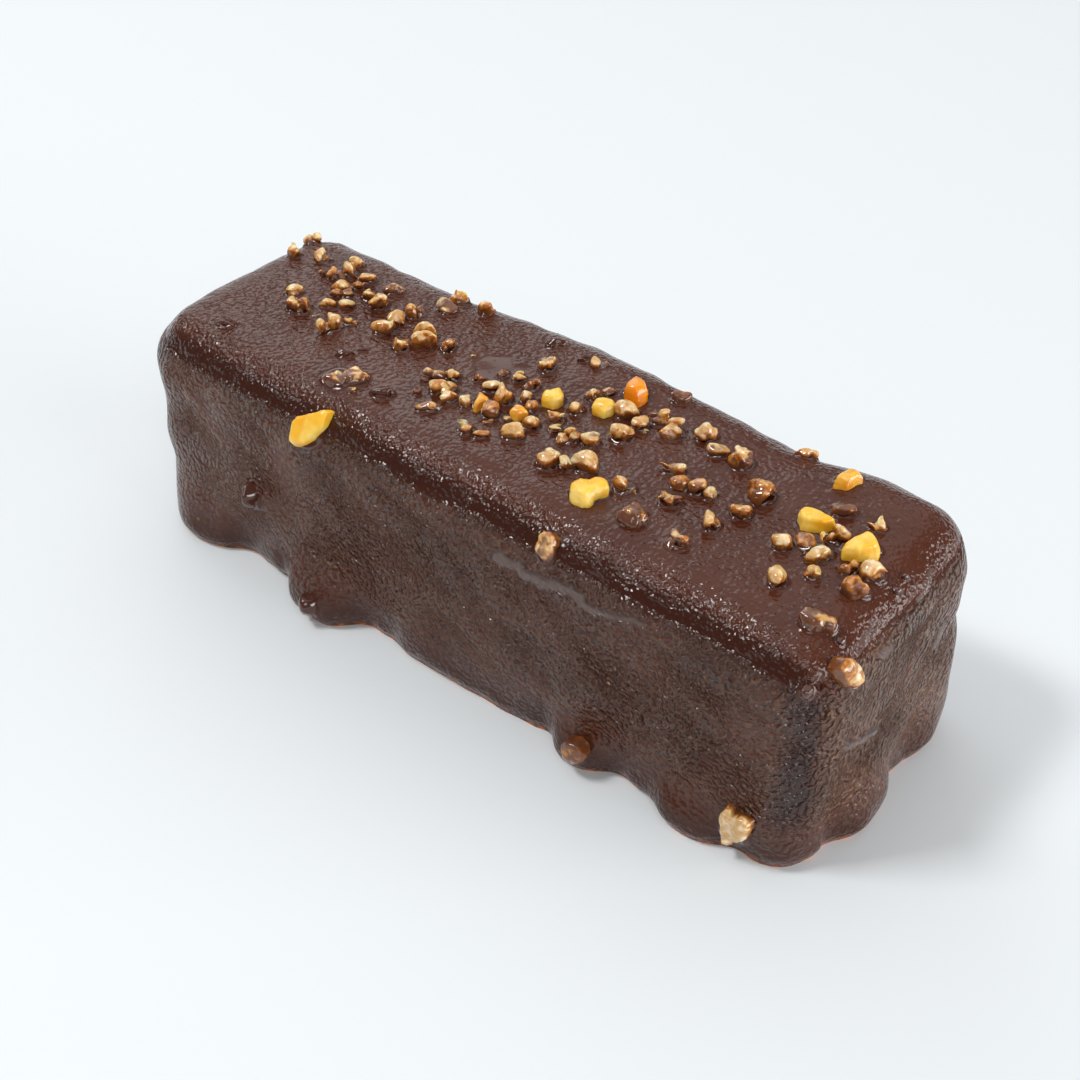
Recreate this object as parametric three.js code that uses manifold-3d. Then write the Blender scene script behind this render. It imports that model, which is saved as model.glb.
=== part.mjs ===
// A small cake bar dipped in dark chocolate, with chopped caramelised nuts and yellow and orange
// crunchy chips stuck in the coating. Millimetres, X along the bar, Y across it, Z up. The origin is
// the middle of the flat underside, and the long side that carries the largest drips faces -Y.
import * as THREE from 'three';
import { mergeVertices } from 'three/addons/utils/BufferGeometryUtils.js';
import Module from 'manifold-3d';

const LENGTH = 110;
const WIDTH = 37.3;
const HEIGHT = 34;
const EDGE_ROUND = 7.5; // the coated top edge and the upright corners

const TUCK = 0.7; // how far the coating draws in where it meets the plate
const TUCK_HEIGHT = 1.1;
const RIPPLE = 0.12; // the slow unevenness of the dipped faces

const SEAT_GAP = 0.35; // clear space between a topping and the pocket it is pressed into
const SUNK_SHARE = 0.32; // how much of a topping's height is below the chocolate
const DEGREE = Math.PI / 180;

const wasm = await Module();
wasm.setup();

// ---------------------------------------------------------------- solids

// A closed geometry as a solid that can be joined and cut.
function toSolid(geometry) {
  const bare = geometry.clone();
  bare.deleteAttribute('normal');
  bare.deleteAttribute('uv');
  const merged = mergeVertices(bare);
  const vertProperties = new Float32Array(merged.attributes.position.array);
  const triVerts = new Uint32Array(merged.index.array);
  return new wasm.Manifold(new wasm.Mesh({ numProp: 3, vertProperties, triVerts }));
}

// And back again, as a geometry to draw.
function toGeometry(solid) {
  const { vertProperties, triVerts } = solid.getMesh();
  const geometry = new THREE.BufferGeometry();
  geometry.setAttribute('position', new THREE.BufferAttribute(vertProperties, 3));
  geometry.setIndex(new THREE.BufferAttribute(triVerts, 1));
  geometry.computeVertexNormals();
  return geometry;
}

// ---------------------------------------------------------------- the coated bar

// Swells of the coating, as { at, reach, rise }: it stands proud by rise at one place, or hangs back
// where rise is below zero, and the swell dies away over reach along X, Y and Z.
const FRONT = -WIDTH / 2;
const BACK = WIDTH / 2;
const RIGHT = LENGTH / 2;
const LEFT = -LENGTH / 2;

const FRONT_FOOT = [
  { at: [-46, -15, 3], reach: [7, 9, 6], rise: 1.4 },
  { at: [-35, FRONT, 0], reach: [5, 6, 10], rise: -0.9 },
  { at: [-21.5, FRONT, 2.2], reach: [6.6, 6, 5.5], rise: 3.3 },
  { at: [-11, FRONT, 0], reach: [4, 5, 8], rise: -0.6 },
  { at: [-4.5, FRONT, 1.5], reach: [4, 5, 4], rise: 0.5 },
  { at: [14, FRONT, 0], reach: [5, 5, 7], rise: -0.4 },
  { at: [22.5, FRONT, 1.5], reach: [4.2, 5, 4], rise: 1.8 },
  { at: [32, FRONT, 0], reach: [4, 5, 7], rise: -0.7 },
  { at: [39, FRONT, 1.5], reach: [6, 6, 4], rise: 1.7 },
];

const RIGHT_FOOT = [
  { at: [RIGHT, -12, 0], reach: [5, 4, 7], rise: -0.5 },
  { at: [RIGHT, -4.5, 2], reach: [6, 5.5, 5.5], rise: 1.9 },
  { at: [RIGHT, 7, 0], reach: [5, 4, 9], rise: -0.4 },
  { at: [52, 15, 8], reach: [7, 7, 10], rise: 1.0 },
];

const BACK_EDGE = [
  { at: [-50, 15, 31], reach: [8, 8, 8], rise: -0.9 },
  { at: [-31, 16, 31], reach: [13, 8, 9], rise: -0.8 },
  { at: [2, 16, 31], reach: [16, 8, 9], rise: 0.7 },
  { at: [29, 16, 31], reach: [6, 8, 8], rise: -0.5 },
  { at: [45, 15, 31], reach: [9, 8, 8], rise: 0.9 },
];

// The drips round the foot of the sides that face away, evenly spread and unevenly large.
function awayFoot() {
  const swells = [];
  for (let i = 0; i < 5; i += 1) {
    const rise = 1.7 + 0.9 * Math.sin(2.3 * i + 0.4);
    swells.push({ at: [42 - 20.5 * i, BACK, 2], reach: [6 + i % 2, 6, 5], rise });
    swells.push({ at: [32 - 20.5 * i, BACK, 0], reach: [4, 5, 8], rise: -0.6 });
  }
  for (let i = 0; i < 2; i += 1) {
    swells.push({ at: [LEFT, 9 - 13 * i, 2], reach: [6, 5, 5], rise: 1.5 - 0.6 * i });
  }
  return swells;
}

const SWELLS = [...FRONT_FOOT, ...RIGHT_FOOT, ...BACK_EDGE, ...awayFoot()];

// How far the coating stands out from the evenly rounded bar at a point.
function swell(p) {
  let rise = RIPPLE * Math.sin(0.21 * p.x + 0.5 * p.z) * Math.cos(0.33 * p.y + 0.17 * p.z);
  for (const s of SWELLS) {
    const dx = (p.x - s.at[0]) / s.reach[0];
    const dy = (p.y - s.at[1]) / s.reach[1];
    const dz = (p.z - s.at[2]) / s.reach[2];
    rise += s.rise * Math.exp(-((dx * dx + dy * dy + dz * dz) ** 1.5));
  }
  return rise - TUCK * Math.exp(-((p.z / TUCK_HEIGHT) ** 2));
}

// The nearest point of the bar's core, which is the bar drawn in all round by the edge rounding.
function inCore(x, y, z) {
  const inX = LENGTH / 2 - EDGE_ROUND;
  const inY = WIDTH / 2 - EDGE_ROUND;
  return new THREE.Vector3(
    THREE.MathUtils.clamp(x, -inX, inX),
    THREE.MathUtils.clamp(y, -inY, inY),
    Math.min(z, HEIGHT - EDGE_ROUND),
  );
}

// The evenly rounded bar: where a point of its enclosing box lands, and the way out from there.
function rounded(x, y, z) {
  const core = inCore(x, y, z);
  const out = new THREE.Vector3(x, y, z).sub(core);
  const reach = Math.max(Math.abs(out.x), Math.abs(out.y), out.z);
  out.normalize();
  return { point: core.addScaledVector(out, reach), out, share: reach / EDGE_ROUND };
}

// Places of the cuts along one side: two across each rounding, and even ones between them.
const BEND = EDGE_ROUND * Math.tan(Math.PI / 8);

function cuts(size, between) {
  const inner = size / 2 - EDGE_ROUND;
  const places = [-size / 2, -inner - BEND];
  for (let i = 0; i <= between; i += 1) {
    places.push(-inner + (2 * inner * i) / between);
  }
  return [...places, inner + BEND, size / 2];
}

const ALONG = cuts(LENGTH, 32);
const ACROSS = cuts(WIDTH, 6);
const UP = [0, 0.9, 2.2, 4.2, 7.5, 12, 18.5, HEIGHT - EDGE_ROUND, HEIGHT - EDGE_ROUND + BEND, HEIGHT];

function dippedBar() {
  const [nx, ny, nz] = [ALONG.length - 1, ACROSS.length - 1, UP.length - 1];
  const geometry = new THREE.BoxGeometry(1, 1, 1, nx, ny, nz);
  const position = geometry.attributes.position;
  for (let i = 0; i < position.count; i += 1) {
    const x = ALONG[Math.round((position.getX(i) + 0.5) * nx)];
    const y = ACROSS[Math.round((position.getY(i) + 0.5) * ny)];
    const z = UP[Math.round((position.getZ(i) + 0.5) * nz)];
    const { point, out, share } = rounded(x, y, z);
    point.addScaledVector(out, swell(point) * share);
    position.setXYZ(i, point.x, point.y, z === 0 ? 0 : point.z);
  }
  return toSolid(geometry);
}

// ---------------------------------------------------------------- toppings

// Forms of a topping, drawn in a box one unit wide, deep and high. Each lump is an egg given by its
// centre and half-sizes, and each facet is a flat cut, given by the way it faces and its distance out.
const FORMS = {
  heart: {
    lumps: [[-0.2, 0, 0, 0.32, 0.4, 0.5], [0.2, 0.12, 0.02, 0.32, 0.38, 0.46]],
    facets: [[0, -1, 0.6, 0.36], [-0.2, 0.1, 1, 0.4]],
  },
  wedge: {
    lumps: [[0, 0, 0, 0.62, 0.55, 0.55]],
    facets: [[0.5, 0.9, 0.2, 0.28], [0.5, -0.9, 0.1, 0.26], [-0.1, 0, 1, 0.36], [-1, 0.2, 0.2, 0.4]],
  },
  block: {
    lumps: [[0, 0, 0, 0.62, 0.6, 0.6]],
    facets: [[0.1, 0.15, 1, 0.38], [1, 0.1, 0.1, 0.42], [-1, 0.2, 0.1, 0.42], [0.1, -1, 0.3, 0.4]],
  },
  plate: {
    lumps: [[0, 0, 0, 0.66, 0.66, 0.9]],
    facets: [[0, 0, 1, 0.4], [1, 0.5, 0.2, 0.42], [-1, 0.6, 0.2, 0.4], [0.4, -1, 0.1, 0.44]],
  },
  bead: {
    lumps: [[0, 0, 0, 0.5, 0.5, 0.5]],
    facets: [[0.6, -0.4, 0.8, 0.42], [-0.7, -0.6, 0.5, 0.43]],
  },
  nut: {
    lumps: [[0, 0, 0, 0.56, 0.52, 0.52]],
    facets: [[-0.4, -0.7, 0.7, 0.4], [0.6, 0.5, 0.6, 0.38], [-0.9, 0.5, 0.2, 0.42], [0.5, -1, 0, 0.4]],
  },
  shard: {
    lumps: [[0, 0, 0, 0.56, 0.56, 0.56]],
    facets: [[0.1, -0.5, 1, 0.34], [0.8, 0.4, 0.6, 0.38], [-0.9, 0.3, 0.5, 0.38], [-0.2, 1, 0.4, 0.36]],
  },
};

const FACET_BOX = 4; // side of the box that cuts a facet, well over one unit
const WOBBLE = 0.07;

// An egg-shaped lump whose points are pushed in and out a little, each seed in its own way.
function lump([x, y, z, a, b, c], seed) {
  const geometry = new THREE.IcosahedronGeometry(1, 1);
  const position = geometry.attributes.position;
  const p = new THREE.Vector3();
  for (let i = 0; i < position.count; i += 1) {
    p.fromBufferAttribute(position, i);
    const push = 1 + WOBBLE * Math.sin(5.3 * p.x + 4.1 * p.y + 6.7 * p.z + 1.9 * seed);
    position.setXYZ(i, x + a * p.x * push, y + b * p.y * push, z + c * p.z * push);
  }
  return toSolid(geometry);
}

// The form joined and cut, then brought to its size and to its middle.
function formSolid(form, seed) {
  let solid = null;
  for (const row of form.lumps) {
    const next = lump(row, seed);
    solid = solid ? solid.add(next) : next;
  }
  for (const [x, y, z, distance] of form.facets) {
    const facing = new THREE.Vector3(x, y, z).normalize();
    const box = new THREE.BoxGeometry(FACET_BOX, FACET_BOX, FACET_BOX);
    box.translate(0, 0, FACET_BOX / 2 + distance);
    box.applyQuaternion(new THREE.Quaternion().setFromUnitVectors(new THREE.Vector3(0, 0, 1), facing));
    solid = solid.subtract(toSolid(box));
  }
  return solid;
}

function sized(solid, size) {
  const geometry = toGeometry(solid);
  geometry.center();
  geometry.computeBoundingBox();
  const now = geometry.boundingBox.getSize(new THREE.Vector3());
  return geometry.scale(size[0] / now.x, size[1] / now.y, size[2] / now.z);
}

// Where a topping sits: on the chocolate over (x, y), or at the height given for one on a side, turned
// about the way out from the surface there.
function seat({ at, size, turn }) {
  const [x, y] = at;
  const core = inCore(x, y, HEIGHT);
  const sideways = Math.hypot(x - core.x, y - core.y);
  const z = at[2] ?? core.z + Math.sqrt(Math.max(EDGE_ROUND ** 2 - sideways ** 2, 0));
  const middle = inCore(x, y, z);
  const out = new THREE.Vector3(x, y, z).sub(middle).normalize();
  const surface = middle.addScaledVector(out, EDGE_ROUND);
  const lift = swell(surface) + size[2] * (0.5 - SUNK_SHARE);
  const upright = new THREE.Quaternion().setFromUnitVectors(new THREE.Vector3(0, 0, 1), out);
  const spin = new THREE.Quaternion().setFromAxisAngle(new THREE.Vector3(0, 0, 1), turn * DEGREE);
  return { position: surface.addScaledVector(out, lift), quaternion: upright.multiply(spin) };
}

// The toppings of each look: each one's place, its size along, across and out of the surface, and its
// turn in degrees.
const YELLOW_CHIPS = [
  { name: 'yellow_chip_heart', form: 'heart', at: [16.4, -9.4], size: [4.7, 3.4, 2.9], turn: 60 },
  { name: 'yellow_chip_wedge', form: 'wedge', at: [39.9, 3.0], size: [4.4, 3.2, 2.7], turn: 6 },
  { name: 'yellow_chip_block', form: 'block', at: [46.3, 2.4], size: [4.5, 3.3, 2.8], turn: 70 },
  { name: 'yellow_chip_plate', form: 'plate', at: [-21.7, -18, 30.6], size: [4.9, 4.5, 1.9], turn: 66 },
  { name: 'yellow_chip_cube', form: 'block', at: [1.6, 2.3], size: [2.8, 2.6, 2.5], turn: 60 },
  { name: 'yellow_chip_round', form: 'bead', at: [7.6, 4.8], size: [3.0, 2.7, 2.4], turn: 20 },
];

const ORANGE_CHIPS = [
  { name: 'orange_chip_egg', form: 'bead', at: [8.6, 10.3], size: [3.1, 3.0, 3.4], turn: 0 },
];

const AMBER_CHIPS = [
  { name: 'amber_chip_dome', form: 'bead', at: [38.7, 12.2], size: [3.7, 2.7, 2.2], turn: 10 },
  { name: 'amber_chip_near', form: 'block', at: [0.1, -2.7], size: [2.4, 2.2, 2.2], turn: 30 },
  { name: 'amber_chip_far', form: 'block', at: [-4.9, -4.1], size: [2.5, 1.9, 2.1], turn: 110 },
];

const BARE_NUTS = [
  { name: 'nut_amber_back', form: 'nut', at: [-20.7, 2.8], size: [3.6, 3.3, 2.9], turn: 70 },
  { name: 'nut_front_edge', form: 'shard', at: [16.6, -17.5, 31.4], size: [3.6, 2.3, 2.0], turn: 115 },
  { name: 'nut_flat_right', form: 'shard', at: [43.3, -1.6], size: [3.5, 2.3, 1.9], turn: 68 },
  { name: 'nut_brown_right', form: 'nut', at: [49.4, -3.9], size: [3.5, 2.8, 2.3], turn: 22 },
  { name: 'nut_end_edge', form: 'nut', at: [54.5, -11.7, 30.6], size: [3.4, 2.6, 2.3], turn: -31 },
  { name: 'nut_foot_middle', form: 'shard', at: [22.2, -19.2, 2.6], size: [3.8, 2.6, 2.2], turn: 0 },
  { name: 'nut_foot_near', form: 'nut', at: [46.5, -19.2, 5.7], size: [4.4, 3.6, 2.6], turn: 103 },
];

const COATED_NUTS = [
  { name: 'nut_coated_pair', form: 'shard', at: [-21.4, -11.6], size: [5.2, 2.6, 2.2], turn: 55 },
  { name: 'nut_coated_mid', form: 'nut', at: [23.3, -9.7], size: [3.5, 3.0, 2.5], turn: 130 },
  { name: 'nut_coated_right', form: 'shard', at: [48.9, -10.7], size: [4.2, 3.0, 2.4], turn: 8 },
];

const BATCHES = [
  { look: { color: '#f3bf42', roughness: 0.42 }, toppings: YELLOW_CHIPS },
  { look: { color: '#d6801c', roughness: 0.35 }, toppings: ORANGE_CHIPS },
  { look: { color: '#dc9a38', roughness: 0.4 }, toppings: AMBER_CHIPS },
  { look: { color: '#c39a5c', roughness: 0.4 }, toppings: BARE_NUTS },
  { look: { color: '#6d4326', roughness: 0.3 }, toppings: COATED_NUTS },
];

// ---------------------------------------------------------------- assembly

const group = new THREE.Group();
const pockets = [];

function addTopping(topping, look) {
  const solid = formSolid(FORMS[topping.form], pockets.length);
  const { position, quaternion } = seat(topping);
  const material = new THREE.MeshStandardMaterial({ ...look, metalness: 0 });
  const mesh = new THREE.Mesh(sized(solid, topping.size), material);
  mesh.name = topping.name;
  mesh.position.copy(position);
  mesh.quaternion.copy(quaternion);
  group.add(mesh);
  const pocket = sized(solid, topping.size.map((side) => side + 2 * SEAT_GAP));
  pocket.applyQuaternion(quaternion);
  pocket.translate(position.x, position.y, position.z);
  pockets.push(toSolid(pocket));
}

for (const { look, toppings } of BATCHES) {
  toppings.forEach((topping) => addTopping(topping, look));
}

const bar = pockets.reduce((solid, pocket) => solid.subtract(pocket), dippedBar());
const chocolate = new THREE.MeshStandardMaterial({ color: '#4e332c', roughness: 0.45, metalness: 0 });
const barMesh = new THREE.Mesh(toGeometry(bar), chocolate);
barMesh.name = 'coated_bar';
group.add(barMesh);

export default group;
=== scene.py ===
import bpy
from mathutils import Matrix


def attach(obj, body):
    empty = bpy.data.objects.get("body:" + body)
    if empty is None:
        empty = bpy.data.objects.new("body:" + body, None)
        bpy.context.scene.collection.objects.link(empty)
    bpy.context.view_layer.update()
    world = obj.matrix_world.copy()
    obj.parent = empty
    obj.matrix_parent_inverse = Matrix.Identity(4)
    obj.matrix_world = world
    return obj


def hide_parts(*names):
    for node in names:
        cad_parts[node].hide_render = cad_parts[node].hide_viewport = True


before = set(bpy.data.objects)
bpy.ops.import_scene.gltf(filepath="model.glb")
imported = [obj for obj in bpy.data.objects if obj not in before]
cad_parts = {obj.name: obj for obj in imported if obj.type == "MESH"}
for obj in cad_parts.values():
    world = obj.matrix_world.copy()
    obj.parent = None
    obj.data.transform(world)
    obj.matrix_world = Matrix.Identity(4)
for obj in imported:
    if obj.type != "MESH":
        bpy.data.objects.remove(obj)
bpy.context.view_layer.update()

import math

import bpy
import numpy as np
from mathutils import Vector
from mathutils.bvhtree import BVHTree

# ================================================================ The view
# The bar stands askew on a plain surface and is seen from above its near corner. The toppings are
# laid where they are seen from here, so the camera comes first.
MM = 0.001  # lengths are written in millimetres, and the scene is in metres
PHOTO_SIDE = 1080
LENS, SENSOR = 57.79, 36.0
FOCAL = PHOTO_SIDE * LENS / SENSOR
TURN, TILT = math.radians(39.457), math.radians(40.735)
EYE = Vector((112.445, -134.899, 162.997))

RIGHTWARD = Vector((math.cos(TURN), math.sin(TURN), 0))
FORWARD = Vector((-math.sin(TURN) * math.cos(TILT), math.cos(TURN) * math.cos(TILT), -math.sin(TILT)))
UPWARD = RIGHTWARD.cross(FORWARD)

lens = bpy.data.cameras.new("view")
lens.lens = LENS
lens.sensor_width = SENSOR
lens.clip_start = 0.01
camera = bpy.data.objects.new("view", lens)
bpy.context.scene.collection.objects.link(camera)
camera.location = EYE * MM
camera.rotation_euler = (math.pi / 2 - TILT, 0, TURN)
bpy.context.scene.camera = camera


def sight(px, py):
    """The way from the eye through a pixel of the photo."""
    aside = (px - PHOTO_SIDE / 2) / FOCAL
    above = (PHOTO_SIDE / 2 - py) / FOCAL
    return (FORWARD + RIGHTWARD * aside + UPWARD * above).normalized()


def seen(points):
    """Where the photo shows each point, in pixels."""
    off = np.asarray(points) - np.array(EYE)
    away = off @ np.array(FORWARD)
    return (PHOTO_SIDE / 2 + FOCAL * (off @ np.array(RIGHTWARD)) / away,
            PHOTO_SIDE / 2 - FOCAL * (off @ np.array(UPWARD)) / away)


# ================================================================ The dipped bar
# A cake cut square, pulled through melted dark chocolate and set down to harden, so its edges are
# round, its skin is pebbled like orange peel, and the surplus has run down into lobes at the foot.
LENGTH, WIDTH, HEIGHT = 110.0, 37.3, 34.0
EDGE_ROUND = 7.5
TUCK, TUCK_HEIGHT = 0.7, 1.1  # the coat draws in where it meets the plate
RIPPLE = 0.12
FRONT, BACK, RIGHT, LEFT = -WIDTH / 2, WIDTH / 2, LENGTH / 2, -LENGTH / 2

# Swells of the coat: where it is, how far it reaches along X, Y and Z, and how far it stands out.
SWELLS = [
    ((-46, -15, 3), (7, 9, 6), 1.4),
    ((-35, FRONT, 0), (5, 6, 10), -0.9),
    ((-21.5, FRONT, 2.2), (6.6, 6, 5.5), 3.3),
    ((-11, FRONT, 0), (4, 5, 8), -0.6),
    ((-4.5, FRONT, 1.5), (4, 5, 4), 0.5),
    ((14, FRONT, 0), (5, 5, 7), -0.4),
    ((22.5, FRONT, 1.5), (4.2, 5, 4), 1.8),
    ((32, FRONT, 0), (4, 5, 7), -0.7),
    ((39, FRONT, 1.5), (6, 6, 4), 1.7),
    ((RIGHT, -12, 0), (5, 4, 7), -0.5),
    ((RIGHT, -4.5, 2), (6, 5.5, 5.5), 1.9),
    ((RIGHT, 7, 0), (5, 4, 9), -0.4),
    ((52, 15, 8), (7, 7, 10), 1.0),
    ((-50, 15, 31), (8, 8, 8), -0.9),
    ((-31, 16, 31), (13, 8, 9), -0.8),
    ((2, 16, 31), (16, 8, 9), 0.7),
    ((29, 16, 31), (6, 8, 8), -0.5),
    ((45, 15, 31), (9, 8, 8), 0.9),
]
# The back and the left end have runs of the same kind, evenly spaced.
BACK_SPACING, LEFT_SPACING = 20.5, 13
SWELLS += [((42 - BACK_SPACING * i, BACK, 2), (6 + i % 2, 6, 5), 1.7 + 0.9 * math.sin(2.3 * i + 0.4))
           for i in range(5)]
SWELLS += [((32 - BACK_SPACING * i, BACK, 0), (4, 5, 8), -0.6) for i in range(5)]
SWELLS += [((LEFT, 9 - LEFT_SPACING * i, 2), (6, 5, 5), 1.5 - 0.6 * i) for i in range(2)]


def swell(points):
    """How far the coat stands out from the evenly rounded bar at each point."""
    x, y, z = points.T
    rise = RIPPLE * np.sin(0.21 * x + 0.5 * z) * np.cos(0.33 * y + 0.17 * z)
    for at, reach, height in SWELLS:
        away = (((points - at) / reach) ** 2).sum(axis=1)
        rise = rise + height * np.exp(-(away ** 1.5))
    return rise - TUCK * np.exp(-((z / TUCK_HEIGHT) ** 2))


def core_of(points):
    """The nearest point of the bar drawn in all round by its edge rounding."""
    inner = np.array([LENGTH / 2 - EDGE_ROUND, WIDTH / 2 - EDGE_ROUND])
    flat = np.clip(points[:, :2], -inner, inner)
    high = np.minimum(points[:, 2:], HEIGHT - EDGE_ROUND)
    return np.hstack([flat, high])


def way_out(points):
    """Which way is out of the evenly rounded bar at each point."""
    out = points - core_of(points)
    return out / np.maximum(np.linalg.norm(out, axis=1, keepdims=True), 1e-9)


def waves(points, spacing, seed, count=28):
    """Smooth random unevenness of about 1, with hills about that far apart."""
    rng = np.random.default_rng(seed)
    total = np.zeros(len(points))
    for _ in range(count):
        way = rng.normal(size=3)
        way *= 2 * np.pi / spacing / np.linalg.norm(way)
        total += np.sin(points @ way + rng.uniform(0, 2 * np.pi))
    return total * math.sqrt(2 / count)


def ramp(values, low, high):
    """Eases from 0 at low to 1 at high."""
    t = np.clip((np.asarray(values, float) - low) / (high - low), 0, 1)
    return t * t * (3 - 2 * t)


def points_of(piece):
    spots = np.empty(len(piece.data.vertices) * 3)
    piece.data.vertices.foreach_get("co", spots)
    return spots.reshape(-1, 3) / MM


def reshape(piece, points):
    piece.data.vertices.foreach_set("co", (np.asarray(points) * MM).ravel())
    piece.data.update()


def mark(piece, name, values):
    """Paints a value on each point of the piece, for its material to read."""
    layer = piece.data.attributes.new(name, "FLOAT", "POINT")
    layer.data.foreach_set("value", np.broadcast_to(values, len(piece.data.vertices)).astype(np.float32))


def added(name):
    """The primitive just added, named, with its place in its mesh."""
    piece = bpy.context.object
    piece.name = piece.data.name = name
    bpy.ops.object.transform_apply(location=True, rotation=True, scale=True)
    return piece


bpy.ops.object.select_all(action="DESELECT")
bpy.ops.mesh.primitive_cube_add(
    size=1, location=(0, 0, HEIGHT * MM / 2), scale=(LENGTH * MM, WIDTH * MM, HEIGHT * MM))
bar = added("chocolate_coat")

CELLS = 94  # cells along a third of the length, across and up, each about 0.4 mm
bpy.ops.object.mode_set(mode="EDIT")
bpy.ops.mesh.select_all(action="DESELECT")
bpy.ops.object.mode_set(mode="OBJECT")
for face in bar.data.polygons:
    face.select = face.normal.z < -0.5
bpy.ops.object.mode_set(mode="EDIT")
bpy.ops.mesh.delete(type="ONLY_FACE")
for third in (-1, 1):
    bpy.ops.mesh.select_all(action="SELECT")
    bpy.ops.mesh.bisect(plane_co=(third * LENGTH * MM / 6, 0, 0), plane_no=(1, 0, 0))
bpy.ops.mesh.select_all(action="SELECT")
bpy.ops.mesh.subdivide(number_cuts=CELLS - 1)
bpy.ops.object.mode_set(mode="OBJECT")

# Each point of the box moves along its way out from the core, so that all its edges are rounded.
boxed = points_of(bar)
outward = boxed - core_of(boxed)
reach = np.maximum(np.abs(outward[:, :2]).max(axis=1), outward[:, 2])
outward /= np.linalg.norm(outward, axis=1, keepdims=True)
evenly = core_of(boxed) + outward * reach[:, None]
share = reach / EDGE_ROUND

# The sides are pebbled, less so towards the foot; the shoulders are beaded finely; the back and left of
# the top are wrinkled, and the near right half of it is almost smooth.
x, y, z = evenly.T
facing_up, facing_front, facing_end = outward[:, 2], -outward[:, 1], outward[:, 0]
facing_out = np.maximum(facing_front, facing_end)
on_top = ramp(facing_up, 0.78, 0.97)
on_side = 1 - ramp(facing_up, 0.36, 0.62)
wrinkled = ramp(facing_up, 0.72, 0.95) * ramp(-x + 1.2 * y, -8, 26)
pebbled = on_side * (0.12 + 0.88 * ramp(z, 3, 13)) * (1 + 0.3 * waves(evenly, 12, 3))
pebbled *= 0.55 + 0.45 * ramp(x, -40, -10) + 0.35 * ramp(facing_end, 0.5, 0.9)
pebbled = np.maximum(pebbled, 0.1 * (1 - wrinkled))
on_shoulder = ramp(facing_up, 0.52, 0.72) * (1 - 0.78 * ramp(facing_up, 0.93, 0.985))
beaded = on_shoulder * (1 + 0.25 * waves(evenly, 7, 4))

# The front and the right end have set dull with a light bloom. It lightens the pebble tops there, partly as
# real bloom and partly as painted sheen, and more on the end as painted light.
bloom_and_sheen = on_side * (0.4 + 0.6 * ramp(facing_end, 0.5, 0.95)) * ramp(facing_out, 0.78, 0.95)
bloom_and_sheen *= 0.15 + 0.85 * ramp(z, 2, 12)

# Painted shade: the coat is darkened in a band just under the front shoulder and round the near corner, and
# towards the foot, in the runs there.
painted_shade = ramp(facing_front, 0.5, 0.7) * (1 - ramp(facing_front, 0.86, 0.975)) * ramp(z, 3, 12)
painted_shade = np.maximum(painted_shade, 0.75 * (1 - ramp(z, 2, 8)))

# On the top towards the back, chocolate that set last left a smooth pool. Its place and its half-widths
# are in pixels.
(POOL_X, POOL_Y), (POOL_WIDE, POOL_TALL), POOL_GLOSS = (496, 368), (26, 12), 0.6
view_x, view_y = seen(evenly)
from_pool = np.hypot((view_x - POOL_X) / POOL_WIDE, (view_y - POOL_Y) / POOL_TALL)
from_pool = from_pool + 0.12 * waves(evenly, 3, 5)
pool = POOL_GLOSS * (1 - ramp(from_pool, 0.85, 1.15)) * on_top

# Where something brushed the coat before it had set, it left smooth wisps, grey from a light bloom and
# painted sheen. Each is a row of places in pixels, and half its width.
WISPS = [
    ([(497, 556), (512, 567), (533, 578), (556, 588), (581, 598)], 5.5),
    ([(572, 598), (588, 610), (613, 617), (641, 623)], 3.5),
    ([(868, 642), (872, 632), (875, 622)], 2.5),
    ([(884, 655), (890, 648)], 4.0),
    ([(917, 602), (926, 588), (930, 570)], 2.2),
    ([(934, 648), (941, 634), (946, 624)], 1.8),
    ([(846, 748), (862, 739), (874, 729)], 2.5),
]
wisp = np.zeros(len(evenly))
for course, half in WISPS:
    for (ax, ay), (bx, by) in zip(course, course[1:]):
        along = (view_x - ax) * (bx - ax) + (view_y - ay) * (by - ay)
        along = np.clip(along / ((bx - ax) ** 2 + (by - ay) ** 2), 0, 1)
        off = np.hypot(view_x - ax - along * (bx - ax), view_y - ay - along * (by - ay))
        wisp = np.maximum(wisp, 1 - ramp(off / half + 0.25 * waves(evenly, 2, 6), 0.6, 1.4))
wisp *= ramp(facing_out, 0.3, 0.6)
smeared = np.maximum(wisp, pool / POOL_GLOSS)
pebbled *= 1 - 0.85 * smeared
beaded *= 1 - smeared
wrinkled *= 1 - smeared

# The runs at the foot are creased between, and a few folds and drops stand out of the coat. They are
# written as the swells are: where, how far each reaches, and how far it stands out.
CREASES = [
    ((-46, FRONT, 1.6), (4.2, 5, 2.8), 0.6),
    ((-38, FRONT, 2), (2.6, 4, 7), -0.8),
    ((-28.6, FRONT, 2), (2.2, 4, 5), -0.9),
    ((-15.2, FRONT, 1), (2.4, 4, 4), -0.9),
    ((17.6, FRONT, 1), (2.0, 4, 4), -0.6),
    ((28, FRONT, 1), (2.2, 4, 4), -0.6),
    ((34, FRONT, 1), (2.2, 4, 5), -0.6),
    ((46, FRONT, 1), (2.4, 4, 3), -0.5),
    ((RIGHT, -10, 1), (4, 2, 5), -0.6),
    ((RIGHT, 2.5, 1), (4, 2, 4), -0.6),
    ((RIGHT, 10, 2), (4, 2.4, 5), 0.5),
    ((-33.3, FRONT, 14.4), (2.2, 2, 2.4), 0.5),
    ((-52, -13, 20), (1.2, 1.6, 5), 0.3),
]
relief = np.zeros(len(evenly))
for at, reach_here, height in CREASES:
    away = (((evenly - at) / reach_here) ** 2).sum(axis=1)
    relief += height * np.exp(-(away ** 1.5))

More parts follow.
